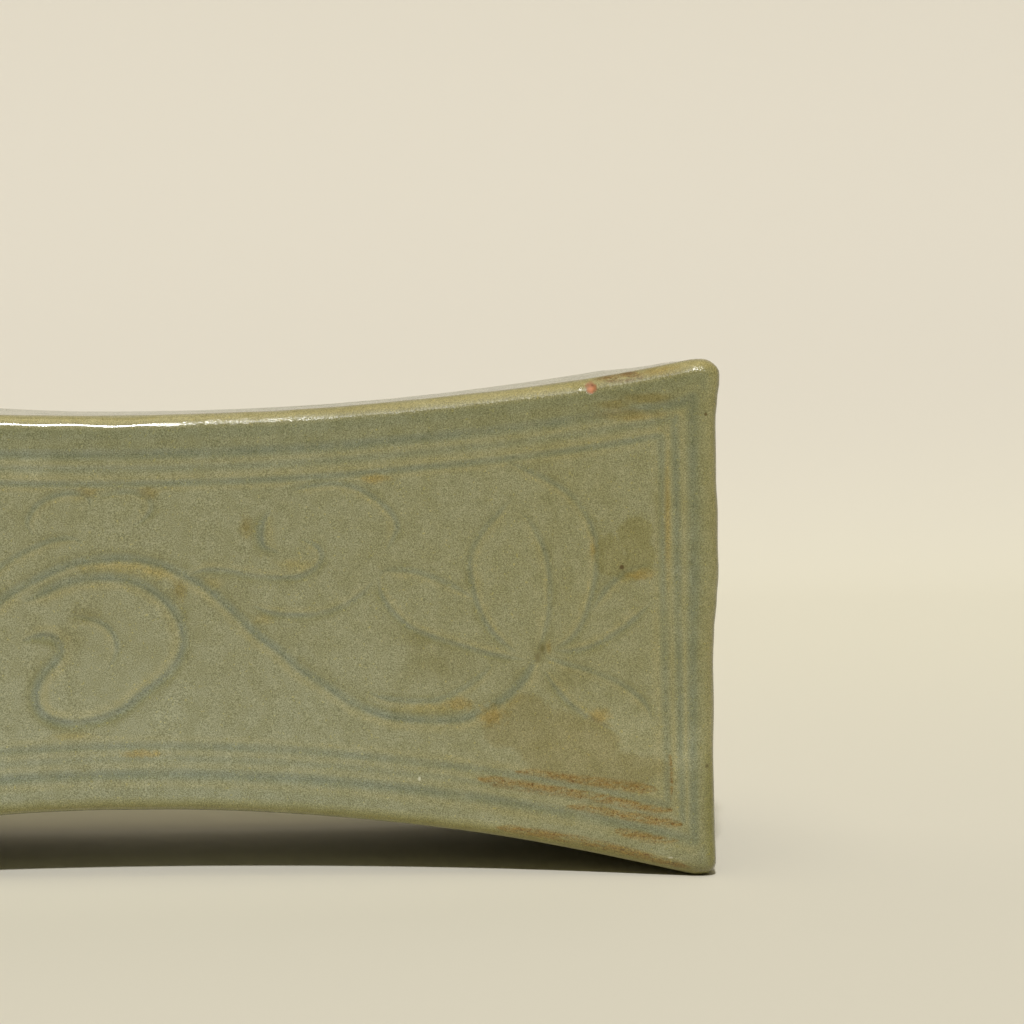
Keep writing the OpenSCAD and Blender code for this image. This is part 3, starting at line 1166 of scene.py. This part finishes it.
along = add(
    tree, "ShaderNodeVectorMath", {0: place, 1: STREAK_STRETCH}, operation="MULTIPLY"
).outputs[0]
streaks = between(tree, clouds(tree, along, STREAK, detail=5, roughness=0.75), 0.3, 0.6)
dots = between(tree, clouds(tree, place, BURNT_DOT, detail=2), 0.5, 0.66)
rows = between(tree, mark("rust"), 0.0, 0.7)
row_rust = times(tree, times(tree, rows, streaks), between(tree, mark("groove"), 0.9, 0.2))
skin = tinted(tree, row_rust, skin, RUST_TINT)
skin = tinted(tree, times(tree, row_rust, dots), skin, BURNT_TINT)
top_rust = times(tree, patch_mask(*TOP_RUST, fine, ragged=0.6, soft=0.5, deep=THIN), streaks)
skin = tinted(tree, top_rust, skin, BURNT_TINT)
worn_crest = patch_mask(*WORN_CREST, fine, ragged=1.0, soft=0.9, deep=THIN)
skin = tinted(tree, worn_crest, skin, UMBER)
for _, x, z, half_width, half_height, ragged, soft, tone in FAULTS:
    skin = blend(tree, patch_mask(x, z, half_width, half_height, fine, ragged, soft), skin, tone)
tree.links.new(skin, shader.inputs["Base Color"])
print("faults:", ", ".join(fault[0] for fault in FAULTS))

# %% [markdown]
# The scar of the chip is bare and dull. Just left of it the edge kept its gloss and catches the lamp.

# %% Dull and shiny places
scar = patch_mask(*SCAR, fine, ragged=1.0, soft=0.5)
shiny = patch_mask(*SHINY, fine, ragged=1.0, soft=0.8)
dry = times(tree, dry, between(tree, shiny, 1.0, 0.0))
dry = add(tree, "ShaderNodeMath", {0: dry, 1: scar}, operation="MAXIMUM").outputs[0]
tree.links.new(between(tree, dry, 0.0, 1.0, GLOSSY, DRY), shader.inputs["Roughness"])
print("glaze has", len(tree.nodes), "nodes in all")

# %% [markdown]
# The coils in the inner corners carry no glaze. Stoneware clay with iron in it fires to a warm
# buff, a little uneven from its grit.

# %% Bare clay
CLAY_DARK = colour(176, 120, 82)
CLAY_LIGHT = colour(206, 156, 116)
CLAY_ROUGHNESS = 0.85
GRIT = 1.2 * MM

clay = bpy.data.materials.new("biscuit_clay")
clay.use_nodes = True
tree = clay.node_tree
shader = tree.nodes["Principled BSDF"]
place = add(tree, "ShaderNodeTexCoord").outputs["Object"]
body = blend(tree, clouds(tree, place, GRIT, detail=4), CLAY_DARK, CLAY_LIGHT)
tree.links.new(body, shader.inputs["Base Color"])
shader.inputs["Roughness"].default_value = CLAY_ROUGHNESS
bare_nodes = [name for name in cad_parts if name.endswith("_coil")]
for name in bare_nodes:
    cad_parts[name].data.materials.clear()
    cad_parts[name].data.materials.append(clay)
print(len(bare_nodes), "coils of bare clay")

# %% [markdown]
# Each slab becomes one piece. After firing, the slip is one with the edges of the slabs it
# joined, so the slabs stand for the seams beside them as well.

# %% Glazed pieces
SHARP_ANGLE = math.radians(50)
STANDS_FOR = {
    "glazed_top": ["top_slab", "top_front_seam", "top_back_seam"],
    "glazed_bottom": ["bottom_slab", "bottom_front_seam", "bottom_back_seam"],
    "glazed_front": ["front_slab"],
    "glazed_back": ["back_slab"],
    "glazed_left_end": ["left_end_slab", "left_end_seam"],
    "glazed_right_end": ["right_end_slab", "right_end_seam"],
}


def glazed_piece(name, bm):
    """Turns a finished slab into a piece of the pillow."""
    bmesh.ops.recalc_face_normals(bm, faces=bm.faces)
    for face in bm.faces:
        face.smooth = True
    mesh = bpy.data.meshes.new(name)
    bm.to_mesh(mesh)
    bm.free()
    mesh.set_sharp_from_angle(angle=SHARP_ANGLE)
    mesh.materials.append(glaze)
    piece = bpy.data.objects.new(name, mesh)
    bpy.context.collection.objects.link(piece)
    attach(piece, "root")
    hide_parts(*STANDS_FOR[name])
    return piece


pieces = {name: glazed_piece(name, bm) for name, bm in blanks.items()}
for name, piece in pieces.items():
    piece.data.calc_loop_triangles()
    print(name, len(piece.data.loop_triangles), "triangles")

# %% [markdown]
# The damp box was pricked through one end, or the steam would have burst it in the kiln. A round
# rod is pushed through the left end slab and taken away again.

# %% Vent
VENT_R = 2.5 * MM
VENT_SIDES = 48
ROD_LENGTH = 6 * (half_l - joint_x)

rod_bm = bmesh.new()
bmesh.ops.create_cone(
    rod_bm, cap_ends=True, segments=VENT_SIDES, radius1=VENT_R, radius2=VENT_R, depth=ROD_LENGTH,
    matrix=Matrix.Translation((-half_l, 0, half_h)) @ Matrix.Rotation(math.pi / 2, 4, "Y"),
)
rod_mesh = bpy.data.meshes.new("rod")
rod_bm.to_mesh(rod_mesh)
rod_bm.free()
rod = bpy.data.objects.new("rod", rod_mesh)
bpy.context.collection.objects.link(rod)
left_end = pieces["glazed_left_end"]
prick = left_end.modifiers.new("prick", "BOOLEAN")
prick.object = rod
prick.operation = "DIFFERENCE"
bpy.context.view_layer.update()
pierced = bpy.data.meshes.new_from_object(left_end.evaluated_get(bpy.context.evaluated_depsgraph_get()))
left_end.modifiers.clear()
left_end.data = pierced
bpy.data.objects.remove(rod)
print("pierced end has", len(pierced.polygons), "faces")

# %% [markdown]
# The pillow stands on a sheet of cream paper that sweeps up behind it, so that there is no line
# between floor and wall.

# %% Paper sweep
PAPER_HALF = 3.0
PAPER_FRONT = -2.5
PAPER_BACK = 1.0
SWEEP_R = 0.8
PAPER_TOP = 2.5
SWEEP_STEPS = 24

paper_bm = bmesh.new()
corners = [paper_bm.verts.new((side * PAPER_HALF, PAPER_FRONT, 0)) for side in (-1, 1)]


def of_kind(parts, kind):
    """The parts of a mesh that are points, or those that are edges."""
    return [part for part in parts if isinstance(part, kind)]


def pulled(edges, way):
    """Pulls an edge of the sheet out along one way, and gives the points and edges at its end."""
    out = bmesh.ops.extrude_edge_only(paper_bm, edges=edges)["geom"]
    points = of_kind(out, bmesh.types.BMVert)
    bmesh.ops.translate(paper_bm, verts=points, vec=way)
    return points + of_kind(out, bmesh.types.BMEdge)


floor_end = pulled([paper_bm.edges.new(corners)], (0, PAPER_BACK - PAPER_FRONT, 0))
swept = bmesh.ops.spin(
    paper_bm, geom=floor_end, cent=(0, PAPER_BACK, SWEEP_R), axis=(1, 0, 0),
    angle=math.pi / 2, steps=SWEEP_STEPS,
)["geom_last"]
pulled(of_kind(swept, bmesh.types.BMEdge), (0, 0, PAPER_TOP))
bmesh.ops.recalc_face_normals(paper_bm, faces=paper_bm.faces)
for face in paper_bm.faces:
    face.smooth = True
paper_mesh = bpy.data.meshes.new("paper")
paper_bm.to_mesh(paper_mesh)
paper_bm.free()
paper = bpy.data.objects.new("paper", paper_mesh)
bpy.context.collection.objects.link(paper)
print("paper sweep has", len(paper.data.polygons), "faces")

# %% [markdown]
# The paper is matt. Its tone changes slowly from the front of the floor to the back and up the
# wall, as the tone of a long sheet does under lamps that stand close to it.

# %% Paper
NEAR_COLOUR = colour(227, 222, 210)
FAR_COLOUR = colour(234, 229, 213)
WALL_COLOUR = colour(215, 209, 198)
# where the tone of the floor, and then that of the wall, starts and ends to change
FLOOR_RAMP = (PAPER_BACK - 1.2, PAPER_BACK - 0.2)
WALL_RAMP = (PAPER_BACK, PAPER_BACK + 0.5)
PAPER_ROUGHNESS = 0.9
PAPER_SHINE = 0.1

cream = bpy.data.materials.new("cream_paper")
cream.use_nodes = True
tree = cream.node_tree
shader = tree.nodes["Principled BSDF"]
place = add(tree, "ShaderNodeTexCoord").outputs["Object"]
away = add(tree, "ShaderNodeSeparateXYZ", {"Vector": place}).outputs["Y"]
tone = blend(tree, between(tree, away, *FLOOR_RAMP), NEAR_COLOUR, FAR_COLOUR)
tone = blend(tree, between(tree, away, *WALL_RAMP), tone, WALL_COLOUR)
tree.links.new(tone, shader.inputs["Base Color"])
shader.inputs["Roughness"].default_value = PAPER_ROUGHNESS
shader.inputs["Specular IOR Level"].default_value = PAPER_SHINE
paper.data.materials.append(cream)
print("paper material has", len(tree.nodes), "nodes")

# %% [markdown]
# One small lamp shines from the front, from above and a little from the left. It draws the sharp
# shadow under the arch and the white line on the top edge. A large soft lamp hangs overhead. It
# brightens the top and softens the shadow behind the pillow. A weak even light fills the rest.

# %% Light
LIGHT_WAY = Vector((0.09, 1.05, -1))
KEY_STRENGTH = 2.6
KEY_SPREAD = math.radians(3.2)
SOFT_PLACE = Vector((0.05, -0.35, 1.75))
SOFT_SIZE = 1.2
SOFT_POWER = 5.3
SOFT_COLOUR = (1.0, 0.93, 0.7)
FILL_COLOUR = (1.0, 0.9, 0.35, 1)
FILL_STRENGTH = 0.1


def lamp(name, kind, place, way):
    """A lamp that shines from one place along one way."""
    light = bpy.data.lights.new(name, kind)
    holder = bpy.data.objects.new(name, light)
    holder.location = place
    holder.rotation_euler = way.to_track_quat("-Z", "Y").to_euler()
    bpy.context.collection.objects.link(holder)
    return light


key = lamp("key", "SUN", -LIGHT_WAY, LIGHT_WAY)
key.energy = KEY_STRENGTH
key.angle = KEY_SPREAD
softbox = lamp("softbox", "AREA", SOFT_PLACE, -SOFT_PLACE)
softbox.energy = SOFT_POWER
softbox.size = SOFT_SIZE
softbox.color = SOFT_COLOUR

world = bpy.data.worlds.new("fill")
world.use_nodes = True
sky = world.node_tree.nodes["Background"]
sky.inputs["Color"].default_value = FILL_COLOUR
sky.inputs["Strength"].default_value = FILL_STRENGTH
bpy.context.scene.world = world
bpy.context.scene.view_settings.view_transform = "Standard"
print("key strength", KEY_STRENGTH, "fill strength", FILL_STRENGTH)
